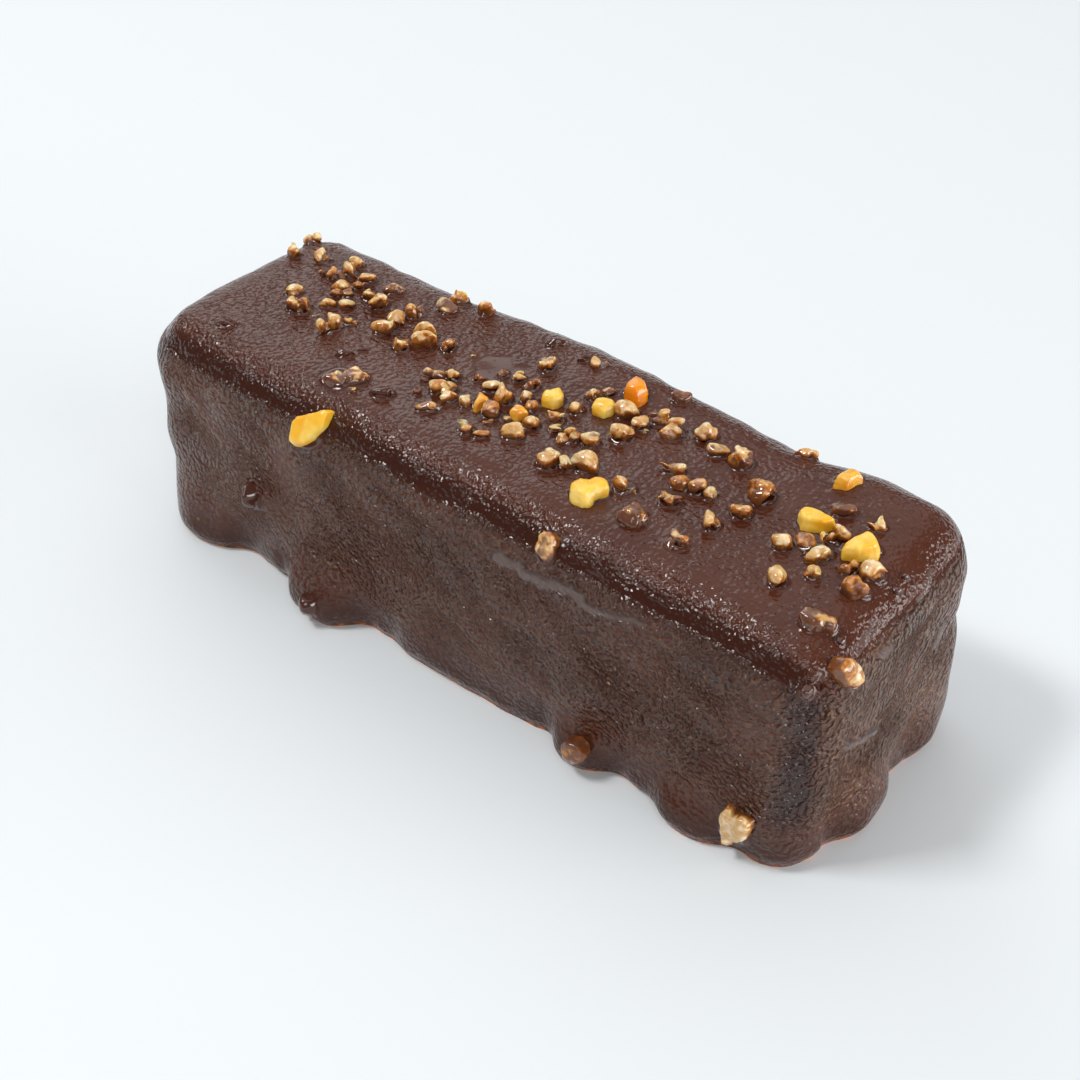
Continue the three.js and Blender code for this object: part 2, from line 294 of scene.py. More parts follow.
relief += 0.10 * waves(evenly, 9, 11)
relief += 0.05 * waves(evenly, 4.5, 12)
relief *= 1 - 0.6 * on_top
fine = 0.025 * waves(evenly, 2.4, 13) + 0.02 * waves(evenly, 1.5, 14, 40)
relief += wrinkled * fine + 0.12 * wisp
coat = evenly + outward * ((swell(evenly) + relief) * share)[:, None]
# The lowest ring stands on the plate, and nothing else goes below it.
coat[:, 2] = np.where(boxed[:, 2] < 0.01, 0, np.maximum(coat[:, 2], 0.02))
reshape(bar, coat)


def add(tree, kind, inputs=(), **settings):
    """One shader node. Inputs are (socket, value or what feeds it) pairs."""
    made = tree.nodes.new("ShaderNode" + kind)
    for name, value in settings.items():
        setattr(made, name, value)
    for socket, value in inputs:
        if isinstance(value, bpy.types.NodeSocket):
            tree.links.new(value, made.inputs[socket])
        else:
            made.inputs[socket].default_value = value
    return made


def blend(tree, factor, first, second):
    """One colour over another."""
    first = first if isinstance(first, bpy.types.NodeSocket) else (*first, 1)
    second = second if isinstance(second, bpy.types.NodeSocket) else (*second, 1)
    mixed = add(tree, "Mix", [(0, factor), (6, first), (7, second)], data_type="RGBA")
    return mixed.outputs[2]


def count(tree, operation, *values):
    """The first value with each of the others added to it, taken from it or multiplied by it in turn."""
    total = values[0]
    for value in values[1:]:
        total = add(tree, "Math", [(0, total), (1, value)], operation=operation).outputs[0]
    return total


def plus(tree, *values):
    return count(tree, "ADD", *values)


def less(tree, *values):
    return count(tree, "SUBTRACT", *values)


def times(tree, *values):
    return count(tree, "MULTIPLY", *values)


def between(tree, value, low, high, to_low=0.0, to_high=1.0):
    """A value eased from one range to another."""
    ranges = [("From Min", low), ("From Max", high), ("To Min", to_low), ("To Max", to_high)]
    eased = add(tree, "MapRange", [("Value", value)] + ranges, interpolation_type="SMOOTHSTEP")
    return eased.outputs["Result"]


def new_effect(effect, sockets, out):
    """A new node group with those (name, first value) inputs after the place, and one value out."""
    made = bpy.data.node_groups.new(effect, "ShaderNodeTree")
    made.interface.new_socket("Where", in_out="INPUT", socket_type="NodeSocketVector")
    for name, value in sockets:
        socket = made.interface.new_socket(name, in_out="INPUT", socket_type="NodeSocketFloat")
        socket.default_value = value
    made.interface.new_socket(out, in_out="OUTPUT", socket_type="NodeSocketFloat")
    return made, made.nodes.new("NodeGroupInput").outputs, made.nodes.new("NodeGroupOutput").inputs


# Unevenness from 0 to 1 is in the coat, the chips and the nuts alike: as bumps, and eased as clouds.
unevenness, given, shown = new_effect(
    "unevenness", [("Scale", 1.0), ("Detail", 2.0), ("Distortion", 0.0)], "Height")
hills = add(unevenness, "TexNoise", [("Vector", given["Where"])])
for name in ("Scale", "Detail", "Distortion"):
    unevenness.links.new(given[name], hills.inputs[name])
unevenness.links.new(hills.outputs["Fac"], shown["Height"])

clouding, given, shown = new_effect(
    "clouds", [("Scale", 1.0), ("Detail", 2.0), ("Distortion", 0.0), ("From", 0.0), ("To", 1.0),
               ("Least", 0.0), ("Most", 1.0)], "Share")
hills = add(clouding, "Group", node_tree=unevenness)
for name in ("Where", "Scale", "Detail", "Distortion"):
    clouding.links.new(given[name], hills.inputs[name])
clouding.links.new(
    between(clouding, hills.outputs["Height"], given["From"], given["To"], given["Least"], given["Most"]),
    shown["Share"])


def grain(tree, where, spacing, detail=2.0):
    """Random unevenness from 0 to 1, with hills about that many millimetres apart."""
    inputs = [("Where", where), ("Scale", 1 / (spacing * MM)), ("Detail", detail)]
    return add(tree, "Group", inputs, node_tree=unevenness).outputs["Height"]


def clouds(tree, where, spacing, low, high, least=0.0, most=1.0, detail=2.0, distortion=0.0):
    """The same unevenness as clouds: the least below low, the most above high."""
    inputs = [("Where", where), ("Scale", 1 / (spacing * MM)), ("Detail", detail),
              ("Distortion", distortion), ("From", low), ("To", high), ("Least", least), ("Most", most)]
    return add(tree, "Group", inputs, node_tree=clouding).outputs["Share"]


def painted(tree, name):
    return add(tree, "Attribute", attribute_name=name).outputs["Fac"]


def new_finish(name, **sockets):
    """A new material: its tree, its shader and the place on the piece."""
    made = bpy.data.materials.new(name)
    made.use_nodes = True
    tree = made.node_tree
    shader = tree.nodes["Principled BSDF"]
    for socket, value in sockets.items():
        shader.inputs[socket.replace("_", " ")].default_value = value
    return made, tree, shader, add(tree, "TexCoord").outputs["Object"]


CHOCOLATE = (0.080, 0.022, 0.0105)
CHOCOLATE_DEEP = (0.058, 0.0145, 0.0068)
CHOCOLATE_PAINTED_SHADE = (0.038, 0.0085, 0.0035)
CHOCOLATE_BLOOM_AND_SHEEN = (0.23, 0.125, 0.072)
CHOCOLATE_WISP_BLOOM_AND_SHEEN = (0.150, 0.112, 0.100)
CHOCOLATE_THIN = (0.60, 0.15, 0.020)
PINHOLE_SHADE = (0.020, 0.005, 0.002)
NUT_DUST = (0.42, 0.22, 0.09)

chocolate, tree, shader, where = new_finish(
    "dark_chocolate", IOR=1.46, Specular_IOR_Level=0.42, Coat_IOR=1.6, Coat_Roughness=0.03)


def beads(spacing):
    """How near the next round bead is, beads about that many millimetres apart."""
    made = add(tree, "TexVoronoi", [("Vector", where), ("Scale", 1 / (spacing * MM)), ("Smoothness", 0.35)],
               feature="SMOOTH_F1")
    return less(tree, 0.7, made.outputs["Distance"])


def spots(spacing, size):
    """1 in scattered round spots of that size, about that many millimetres apart."""
    made = add(tree, "TexVoronoi", [("Vector", where), ("Scale", 1 / (spacing * MM))])
    return between(tree, made.outputs["Distance"], 0.3 * size / spacing, 0.5 * size / spacing, 1.0, 0.0)


pebbles = plus(tree, grain(tree, where, 0.64, 0.0), times(tree, beads(0.48), 0.4))
wet, bloom_and_sheen_share = painted(tree, "wet"), painted(tree, "bloom_and_sheen")
on_sides = between(tree, bloom_and_sheen_share, 0.02, 0.3)
pinholes = times(tree, spots(4.6, 0.55), on_sides)
pits = times(tree, spots(1.3, 0.5), on_sides)
nut_dust = times(tree, spots(8.5, 0.7), on_sides)

# Bloom and painted sheen lie on the pebble tops, and the coat is reddish where it is thin.
tone = blend(tree, clouds(tree, where, 6.0, 0.35, 0.65, most=0.5), CHOCOLATE, CHOCOLATE_DEEP)
# Painted shade darkens the band under the front shoulder, the near corner and the foot.
tone = blend(tree, times(tree, painted(tree, "painted_shade"), 0.95), tone, CHOCOLATE_PAINTED_SHADE)
bloom_and_sheen_on_pebbles = times(tree, between(tree, pebbles, 0.52, 0.84, 0.15, 0.85), bloom_and_sheen_share)
tone = blend(tree, bloom_and_sheen_on_pebbles, tone, CHOCOLATE_BLOOM_AND_SHEEN)
# The wisps are painted grey: a light bloom and painted sheen.
tone = blend(tree, times(tree, painted(tree, "wisp_bloom_and_sheen"), 0.55), tone, CHOCOLATE_WISP_BLOOM_AND_SHEEN)
fleck = clouds(tree, where, 1.3, 0.42, 0.62, least=0.15)
tone = blend(tree, times(tree, painted(tree, "thin"), fleck), tone, CHOCOLATE_THIN)
# Pinholes and pits are painted dark, as painted shade in these little hollows.
tone = blend(tree, times(tree, pits, 0.5), tone, PINHOLE_SHADE)
tone = blend(tree, pinholes, tone, PINHOLE_SHADE)
tone = blend(tree, nut_dust, tone, NUT_DUST)
tree.links.new(tone, shader.inputs["Base Color"])

dull = clouds(tree, where, 1.6, 0.3, 0.7, 0.11, 0.17)
gloss = add(tree, "Mix", [(0, wet), (2, dull), (3, 0.08)], data_type="FLOAT").outputs[0]
tree.links.new(gloss, shader.inputs["Roughness"])
tree.links.new(between(tree, wet, 0.7, 1.0, 0.0, 0.6), shader.inputs["Coat Weight"])

# Heights are in millimetres.
fine_beads = plus(tree, times(tree, grain(tree, where, 0.42, 0.0), 0.17), times(tree, beads(0.5), 0.06))
wrinkles = plus(tree, grain(tree, where, 0.75, 0.0), beads(0.6))
specks = times(tree, spots(1.0, 0.4), 0.085)
height = plus(
    tree,
    times(tree, pebbles, 1.4, painted(tree, "pebbled")),
    times(tree, fine_beads, painted(tree, "beaded")),
    times(tree, wrinkles, 0.2, painted(tree, "wrinkled")),
    times(tree, specks, less(tree, 1.0, wet)))
height = less(tree, height, times(tree, pits, 0.12), times(tree, pinholes, 0.3))


def bumped(tree, shader, height, unit=MM):
    """Raises the skin by that height, in units of that length."""
    raised = add(tree, "Bump", [("Height", height), ("Distance", unit), ("Strength", 1.0)])
    tree.links.new(raised.outputs["Normal"], shader.inputs["Normal"])


bumped(tree, shader, height)

bar.data.materials.append(chocolate)
mark(bar, "pebbled", pebbled)
mark(bar, "beaded", beaded)
mark(bar, "wrinkled", wrinkled)
# The bloom with painted sheen, the wisps' grey and the painted shade are marked here for the coat to read.
mark(bar, "bloom_and_sheen", bloom_and_sheen * (1 - wisp))
mark(bar, "wisp_bloom_and_sheen", wisp)
mark(bar, "painted_shade", painted_shade)
mark(bar, "wet", pool)
mark(bar, "thin", ramp(-coat[:, 2], -0.9, -0.1))

# The underside is closed flat, and faces outward.
bpy.ops.object.select_all(action="DESELECT")
bpy.context.view_layer.objects.active = bar
bar.select_set(True)
bpy.ops.object.mode_set(mode="EDIT")
bpy.ops.mesh.select_all(action="DESELECT")
bpy.ops.object.mode_set(mode="OBJECT")
low = coat[:, 2] < 0.005
for edge in bar.data.edges:
    a, b = edge.vertices
    edge.select = bool(low[a] and low[b])
bpy.ops.object.mode_set(mode="EDIT")
bpy.ops.mesh.edge_face_add()
bpy.ops.mesh.select_all(action="SELECT")
bpy.ops.mesh.normals_make_consistent(inside=False)
bpy.ops.object.mode_set(mode="OBJECT")
bpy.ops.object.shade_smooth_by_angle(angle=math.radians(50))
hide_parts("coated_bar")
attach(bar, "root")
bar_surface = BVHTree.FromObject(bar, bpy.context.evaluated_depsgraph_get())

# ================================================================ Yellow chips
# Crisp chips of sweet yellow maize or mango crunch, smooth, flat-sided and a little see-through. Six
# of them are pressed into the coat while it is still soft.


def ground(px, py):
    """The chocolate seen at a pixel, or past the back edge the first below it, and the way out of it."""
    for lower in range(60):
        way = sight(px, py + lower)
        hit = bar_surface.ray_cast(EYE * MM, way)[0]
        if hit is not None:
            spot = hit / MM
            return spot, Vector(way_out(np.array([spot]))[0])


def on_level(px, py, base, out, height):
    """Where the line of sight through a pixel crosses the level that high over the chocolate at base."""
    way = sight(px, py)
    return EYE + way * ((base + out * height - EYE).dot(out) / way.dot(out))


def active(piece):
    bpy.ops.object.select_all(action="DESELECT")
    bpy.context.view_layer.objects.active = piece
    piece.select_set(True)


def joined(name, pieces):
    active(pieces[0])
    for piece in pieces:
        piece.select_set(True)
    if len(pieces) > 1:
        bpy.ops.object.join()
    piece = bpy.context.object
    piece.name = piece.data.name = name
    return piece


def ground_down(piece, cell, passes):
    """Rounds off the piece: its skin is made anew in even cells, then smoothed."""
    active(piece)
    skin = piece.modifiers.new("even_skin", "REMESH")
    skin.mode = "VOXEL"
    skin.voxel_size = cell * MM
    bpy.ops.object.modifier_apply(modifier=skin.name)
    worn = piece.modifiers.new("worn_edges", "SMOOTH")
    worn.factor, worn.iterations = 0.5, passes
    bpy.ops.object.modifier_apply(modifier=worn.name)
    bpy.ops.object.shade_smooth()


# The share of its rim's width that a lump still has, at each share of the height above its rim.
DOMED = ((0.5, 0.87), (0.85, 0.62), (1.0, 0.32))
BOXY = ((0.8, 0.84), (1.0, 0.66))
RIM_LEVEL, RIM_FALL = 0.72, 0.62  # how high its far rim is, and how much lower its near rim, in shares
ROOT_DEPTH = 0.9


def hewn(name, rim, height, profile):
    """A lump with the rim that the photo shows, its crown that high over the chocolate."""
    px, py = np.array(rim, float).T
    base, out = ground((px.min() + px.max()) / 2, (py.min() + py.max()) / 2)
    level = height * (RIM_LEVEL - RIM_FALL * ramp((py - py.min()) / (py.max() - py.min()), 0.3, 0.95))
    flat = [on_level(x, y, base, out, up) - out * up for x, y, up in zip(px, py, level)]
    middle = sum(flat, Vector()) / len(flat)
    corners = []
    for spot, up in zip(flat, level):
        corners += [spot + out * up, spot - out * ROOT_DEPTH]
        for share_up, inset in profile:
            corners.append(middle + (spot - middle) * inset + out * (up + (height - up) * share_up))
    mesh = bpy.data.meshes.new(name)
    mesh.from_pydata([corner * MM for corner in corners], [], [])
    piece = bpy.data.objects.new(name, mesh)
    bpy.context.scene.collection.objects.link(piece)
    active(piece)
    bpy.ops.object.mode_set(mode="EDIT")
    bpy.ops.mesh.select_all(action="SELECT")
    bpy.ops.mesh.convex_hull()
    bpy.ops.object.mode_set(mode="OBJECT")
    return piece


# Where the toppings go into the chocolate: the middle, the way out, and half-widths right and away.
SEATS = []
SEAT_LOWER, SEAT_DEEP, SEAT_LEAST = 0.12, 0.75, 0.55  # its place and its half-width away, in shares


def sit(rim):
    """Notes the seat of a topping with that rim."""
    px, py = np.array(rim, float).T
    tall = py.max() - py.min()
    base, out = ground((px.min() + px.max()) / 2, (py.min() + py.max()) / 2 + SEAT_LOWER * tall)
    scale = FOCAL / (base - EYE).dot(FORWARD)
    wide = (px.max() - px.min()) / 2 / scale
    SEATS.append((base, out, wide, max(SEAT_DEEP * tall / 2 / scale, SEAT_LEAST * wide)))


SKIN_CELL = 0.11


def topping(name, rims, height, finish, slot, node, profile=DOMED, passes=8, lumps=0.04, seed=0):
    """A larger piece that stands for a node: its lumps joined, worn round and a little uneven."""
    parts = [hewn(name, rim, height, profile) for rim in rims]
    piece = joined(name, parts)
    ground_down(piece, SKIN_CELL, passes)
    points = points_of(piece)
    middle = points.mean(axis=0)
    out = points - middle
    out /= np.linalg.norm(out, axis=1, keepdims=True)
    uneven = lumps * waves(points, 1.7, seed) + 0.25 * lumps * waves(points, 0.7, seed + 1)
    reshape(piece, points + out * uneven[:, None])
    piece.data.materials.append(finish)
    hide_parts(node)
    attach(piece, "root")
    everything = [spot for rim in rims for spot in rim]
    sit(everything)
    return piece


YELLOW = (0.98, 0.55, 0.032)
YELLOW_PALE = (1.0, 0.70, 0.19)
YELLOW_DEEP = (0.95, 0.43, 0.014)

yellow, tree, shader, where = new_finish(
    "yellow_chip_finish", Roughness=0.34, IOR=1.48, Subsurface_Weight=0.35, Subsurface_Scale=0.0012,
    Subsurface_Radius=(1.0, 0.55, 0.15), Coat_Weight=0.25, Coat_Roughness=0.12)
body = blend(tree, clouds(tree, where, 2.4, 0.38, 0.66, detail=1.0), YELLOW_DEEP, YELLOW_PALE)
body = blend(tree, clouds(tree, where, 1.1, 0.3, 0.7, 0.2, 0.75), body, YELLOW)
tree.links.new(body, shader.inputs["Base Color"])
bumped(tree, shader, grain(tree, where, 0.35), 0.015 * MM)

HEART_LEFT = [
    (569.7, 488), (570.6, 484), (580, 477.5), (588, 479.5), (594, 486), (595, 497), (592.5, 504.5),
    (588, 507), (581, 506.5), (574, 502.5), (570, 495)]
HEART_RIGHT = [
    (585, 482), (595, 477), (602.5, 477.5), (607, 481), (609.2, 487), (607, 493), (601, 497.5),
    (593, 502), (584, 498)]
WEDGE = [
    (798, 514.5), (800.5, 509.5), (804, 508), (813, 509.5), (822, 515), (837, 526), (835, 528.5),
    (824, 533.5), (810, 531.5), (800.5, 529)]
BLOCK = [
    (841, 551), (843.5, 545.5), (851.5, 540), (868, 531.8), (872, 534), (876.6, 539), (880.8, 551),
    (878.5, 558), (857, 561), (841.4, 558.5)]
PLATE = [
    (292, 421.3), (297.5, 416.5), (315.5, 412), (323, 410), (326.5, 412), (325.5, 419), (323, 427),
    (319, 434), (308, 445.5), (303, 447), (295.5, 446.5), (290.5, 443), (289.5, 437)]
CUBE = [
    (541, 399), (545.3, 390), (559.6, 388.5), (564.2, 394), (563.7, 398.5), (558.6, 406), (553, 408.4),
    (542.5, 402)]
ROUND = [
    (591.7, 406.8), (595.3, 399.2), (603.5, 397), (613.5, 400), (616.7, 406.5), (610.6, 415.5),
    (603.5, 417.6), (593.5, 411.5)]


def yellow_chip(kind, rims, height, **shape):
    topping("chip_" + kind, rims, height, yellow, "yellow_chip", "yellow_chip_" + kind, **shape)


yellow_chip("heart", [HEART_LEFT, HEART_RIGHT], 2.1, passes=14, seed=1)
yellow_chip("wedge", [WEDGE], 1.9, profile=BOXY, seed=2)
yellow_chip("block", [BLOCK], 2.0, profile=BOXY, seed=3)
yellow_chip("plate", [PLATE], 1.2, profile=BOXY, passes=5, seed=4)
yellow_chip("cube", [CUBE], 1.75, passes=15, seed=5)
yellow_chip("round", [ROUND], 1.7, passes=18, seed=6)

# ================================================================ Orange and amber chips
# The same kind of chip, darker: one round orange one, and three amber ones that are boiled harder.
ORANGE = (0.90, 0.31, 0.003)
ORANGE_DEEP = (0.68, 0.16, 0.001)
AMBER = (0.90, 0.47, 0.05)
AMBER_DEEP = (0.72, 0.26, 0.012)


def boiled(name, light, deep):
    """A glossier, more see-through sweet than the yellow ones, darker in clouds."""
    made, tree, shader, where = new_finish(
        name, Roughness=0.22, IOR=1.49, Subsurface_Weight=0.4, Subsurface_Scale=0.0012,
        Subsurface_Radius=(1.0, 0.45, 0.1), Coat_Weight=0.4, Coat_Roughness=0.06)
    body = blend(tree, clouds(tree, where, 1.8, 0.35, 0.7, most=0.75, detail=1.0), light, deep)
    tree.links.new(body, shader.inputs["Base Color"])
    bumped(tree, shader, grain(tree, where, 0.4), 0.012 * MM)
    return made


orange = boiled("orange_chip_finish", ORANGE, ORANGE_DEEP)
amber = boiled("amber_chip_finish", AMBER, AMBER_DEEP)
EGG = [
    (623.4, 393), (627, 383), (636, 376.2), (645, 381.8), (648.4, 393), (644.3, 401), (637, 404.5),
    (628, 400.5)]
DOME = [
    (833.6, 481.3), (837.4, 476), (843.6, 471), (851, 468.6), (857.3, 471.3), (861.9, 475),
    (863.8, 479), (861, 483), (855.8, 484.5), (846.6, 487.2), (839, 484.5)]
AMBER_NEAR = [
    (509.2, 412.2), (515.3, 404.6), (523.5, 405.6), (528.6, 412.2), (522.4, 419.4), (517.3, 421.4),
    (510.2, 417.3)]
AMBER_FAR = [
    (472, 410), (475.5, 400), (479.6, 391.8), (488.8, 398), (489.3, 403), (480.6, 410.5),
    (475.5, 412.2)]


def boiled_chip(kind, rim, height, finish, node, **shape):
    topping("chip_" + kind, [rim], height, finish, "orange_chip", node, **shape)


boiled_chip("orange_egg", EGG, 2.3, orange, "orange_chip_egg", passes=26, lumps=0.02, seed=7)
boiled_chip("amber_dome", DOME, 1.5, amber, "amber_chip_dome", seed=8)
boiled_chip("amber_near", AMBER_NEAR, 1.5, amber, "amber_chip_near", passes=14, seed=9)
boiled_chip("amber_far", AMBER_FAR, 1.5, amber, "amber_chip_far", passes=12, seed=10)

# ================================================================ Larger nuts
# Chopped nuts boiled in caramel: pale tan flesh under a clear sticky glaze that gathers amber in the
# hollows and at the foot.
# Their sides are painted amber too, as painted shade. Some went in under the coat and keep a thin brown
# film of it.
NUT_PALE = (0.84, 0.66, 0.42)
NUT_TAN = (0.56, 0.34, 0.12)
NUT_AMBER = (0.42, 0.155, 0.016)
NUT_BROWN = (0.17, 0.050, 0.007)
FILM = (0.115, 0.037, 0.016)

nut, tree, shader, where = new_finish(
    "caramelised_nut_finish", IOR=1.4, Roughness=0.6, Specular_IOR_Level=0.1, Subsurface_Weight=0.9,
    Subsurface_Scale=0.0018, Subsurface_Radius=(1.0, 0.5, 0.16), Coat_Weight=0.9, Coat_IOR=1.7,
    Coat_Roughness=0.03)
flesh = blend(tree, clouds(tree, where, 1.0, 0.42, 0.7), NUT_TAN, NUT_PALE)
# The glaze share carries painted shade on the sides of the nuts as well as the glaze itself.
glaze = plus(tree, painted(tree, "amber"), clouds(tree, where, 0.9, 0.35, 0.7, -0.4, 0.4, distortion=0.5))
glazed_and_shaded_tone = blend(tree, between(tree, glaze, 0.3, 0.75), flesh, NUT_AMBER)
glazed_and_shaded_tone = blend(tree, between(tree, glaze, 0.75, 1.25), glazed_and_shaded_tone, NUT_BROWN)
cover = plus(tree, painted(tree, "film"), clouds(tree, where, 1.3, 0.3, 0.7, -0.3, 0.3, detail=1.5))
filmed = blend(tree, between(tree, cover, 0.35, 0.75, 0.0, 0.93), glazed_and_shaded_tone, FILM)
tree.links.new(filmed, shader.inputs["Base Color"])
bumped(tree, shader, grain(tree, where, 0.4, 2.5), 0.018 * MM)


def low_down(piece, base, out, reach):
    """1 at the chocolate, 0 that far above it: the glaze gathers there."""
    level = (points_of(piece) - np.array(base)) @ np.array(out)
    return 1 - ramp(level, 0.2 * reach, reach)


def painted_shade_on_sides(piece, out):
    """0 where the piece faces out of the chocolate, 1 where it faces along it or back, where painted shade
    goes.
    """
    facing = np.empty(len(piece.data.vertices) * 3)
    piece.data.vertices.foreach_get("normal", facing)
    return 1 - ramp(facing.reshape(-1, 3) @ np.array(out), 0.1, 0.85)


def one_side(piece, way):
    """1 at the end of the piece that way, -1 at the other."""
    along = points_of(piece) @ np.array(way)
    return 2 * (along - along.min()) / (along.max() - along.min()) - 1


MOST_AMBER, MOST_FILM = 1.5, 1.3


def glazed_and_shaded_over(piece, base, out, reach, amber_share):
    """Paints the glaze, which gathers at the foot up to that reach, and painted shade on the sides, in the
    same amber.
    """
    foot = low_down(piece, base, out, reach)
    mark(piece, "amber", np.clip(amber_share + 0.9 * foot + 0.4 * painted_shade_on_sides(piece, out), 0, MOST_AMBER))
    return foot


def filmed_over(piece, film_share, rise, way):
    """Paints the film of chocolate: it rises from the foot, and is thicker at the end that way."""
    film = np.clip(film_share + rise + 0.35 * one_side(piece, way), 0, MOST_FILM)
    mark(piece, "film", film if film_share else 0.0)


def nut_piece(name, rims, height, node, amber_share, film_share, seed, lumps=0.07):
    slot = "coated_nut" if film_share > 0.5 else "caramelised_nut"
    piece = topping(name, rims, height, nut, slot, node, passes=7, lumps=lumps, seed=seed)
    base, out = SEATS[-1][:2]
    # Its glaze, with painted shade on its sides.
    foot = glazed_and_shaded_over(piece, base, out, 0.8 * height, amber_share)
    filmed_over(piece, film_share, 0.4 * foot, -RIGHTWARD)


AMBER_BACK_TOP = [
    (413, 330), (418, 326), (422.8, 324), (427.5, 322), (433.6, 326), (437, 332), (436, 337),
    (424, 339), (414, 336)]
AMBER_BACK_LOW = [
    (410.6, 338), (414, 333), (430, 332), (436.5, 336), (436.6, 341.2), (432, 345.8), (425, 343),
    (418.3, 346.6), (412, 343)]
FRONT_EDGE = [
    (538.8, 535), (543.3, 531.2), (551, 531.2), (556, 538.2), (556, 546), (553.5, 555), (549, 562.4),
    (542.6, 561), (537.5, 555), (535.6, 546)]
FLAT_RIGHT = [
    (803.7, 557.3), (811, 549.2), (823, 544.1), (833.3, 551), (827, 557.5), (815, 563), (804.7, 561.5)]
BROWN_LEFT = [
    (840.4, 586), (844.5, 578), (851.6, 575.7), (858, 577.5), (862, 584), (858, 592), (849.6, 596),
    (842.4, 591)]
BROWN_RIGHT = [
    (850, 588), (856, 582), (865, 584), (871, 588), (865, 597), (858, 599.5), (851, 597.5)]
END_EDGE = [
    (846.6, 657.3), (853.5, 658), (861, 667.3), (864.5, 675), (861, 684), (852.7, 689), (845, 687),
    (841.2, 680.3), (841.2, 669)]
FOOT_MIDDLE = [
    (561.8, 750.7), (560.5, 744.3), (565.6, 742.4), (573.3, 745.6), (579.7, 750.7), (584.8, 757),
    (584, 761.6), (575.8, 763.2), (569.4, 761), (563, 756.5)]
FOOT_NEAR_TALL = [
    (718.7, 816.3), (722, 811.2), (725, 809.3), (729, 811.2), (731.4, 817), (736, 826), (738, 840),
    (731, 845), (727.6, 845), (723.2, 836), (721.3, 824.6)]
FOOT_NEAR_SIDE = [
    (729, 818), (737, 818.3), (743, 821.5), (748.7, 826), (751, 831), (749.3, 835.5), (745, 838.7),
    (738, 840.6), (731, 836)]
PAIR_LEFT = [
    (321.4, 379), (326.4, 374), (338, 371), (342, 372.5), (345, 379), (343, 386.5), (331.4, 386.5),
    (324, 383)]
PAIR_RIGHT = [
    (342, 377), (344.6, 369), (354.6, 366.6), (361, 370), (369.5, 375.7), (364.5, 381), (349.6, 386.5)]
COATED_MID = [
    (616.8, 513.5), (626.5, 506.3), (634.7, 500.2), (641, 506.3), (648, 517.6), (639, 527.8),
    (630.6, 529), (619.4, 520.6)]
COATED_RIGHT = [
    (799, 613), (806, 606.8), (816.7, 609), (829, 615), (830, 627), (822, 631.3), (810.6, 631.3),
    (802, 624.4)]
COATED_TIP = [
    (822, 620), (829, 615.2), (835, 617.5), (837.4, 623), (833.6, 633.6), (830.5, 636), (823, 631)]

nut_piece("nut_back", [AMBER_BACK_TOP, AMBER_BACK_LOW], 2.2, "nut_amber_back", 0.2, 0, seed=20)
nut_piece("nut_edge", [FRONT_EDGE], 1.3, "nut_front_edge", 0.5, 0.2, seed=21)
nut_piece("nut_flat", [FLAT_RIGHT], 1.3, "nut_flat_right", 0.05, 0, seed=22)
nut_piece("nut_brown", [BROWN_LEFT, BROWN_RIGHT], 1.8, "nut_brown_right", 0.9, 0.05, seed=23)
nut_piece("nut_end", [END_EDGE], 1.5, "nut_end_edge", 0.7, 0, seed=24, lumps=0.03)
nut_piece("nut_foot_amber", [FOOT_MIDDLE], 1.4, "nut_foot_middle", 1.05, 0.3, seed=25, lumps=0.04)
nut_piece("nut_foot_pale", [FOOT_NEAR_TALL, FOOT_NEAR_SIDE], 1.7, "nut_foot_near", 0.15, 0, seed=26)
nut_piece("nut_pair", [PAIR_LEFT, PAIR_RIGHT], 1.3, "nut_coated_pair", 0.6, 0.55, seed=27)
nut_piece("nut_mid", [COATED_MID], 1.8, "nut_coated_mid", 0.7, 0.65, seed=28)
nut_piece("nut_right", [COATED_RIGHT, COATED_TIP], 1.5, "nut_coated_right", 0.4, 0.7, seed=29, lumps=0.04)

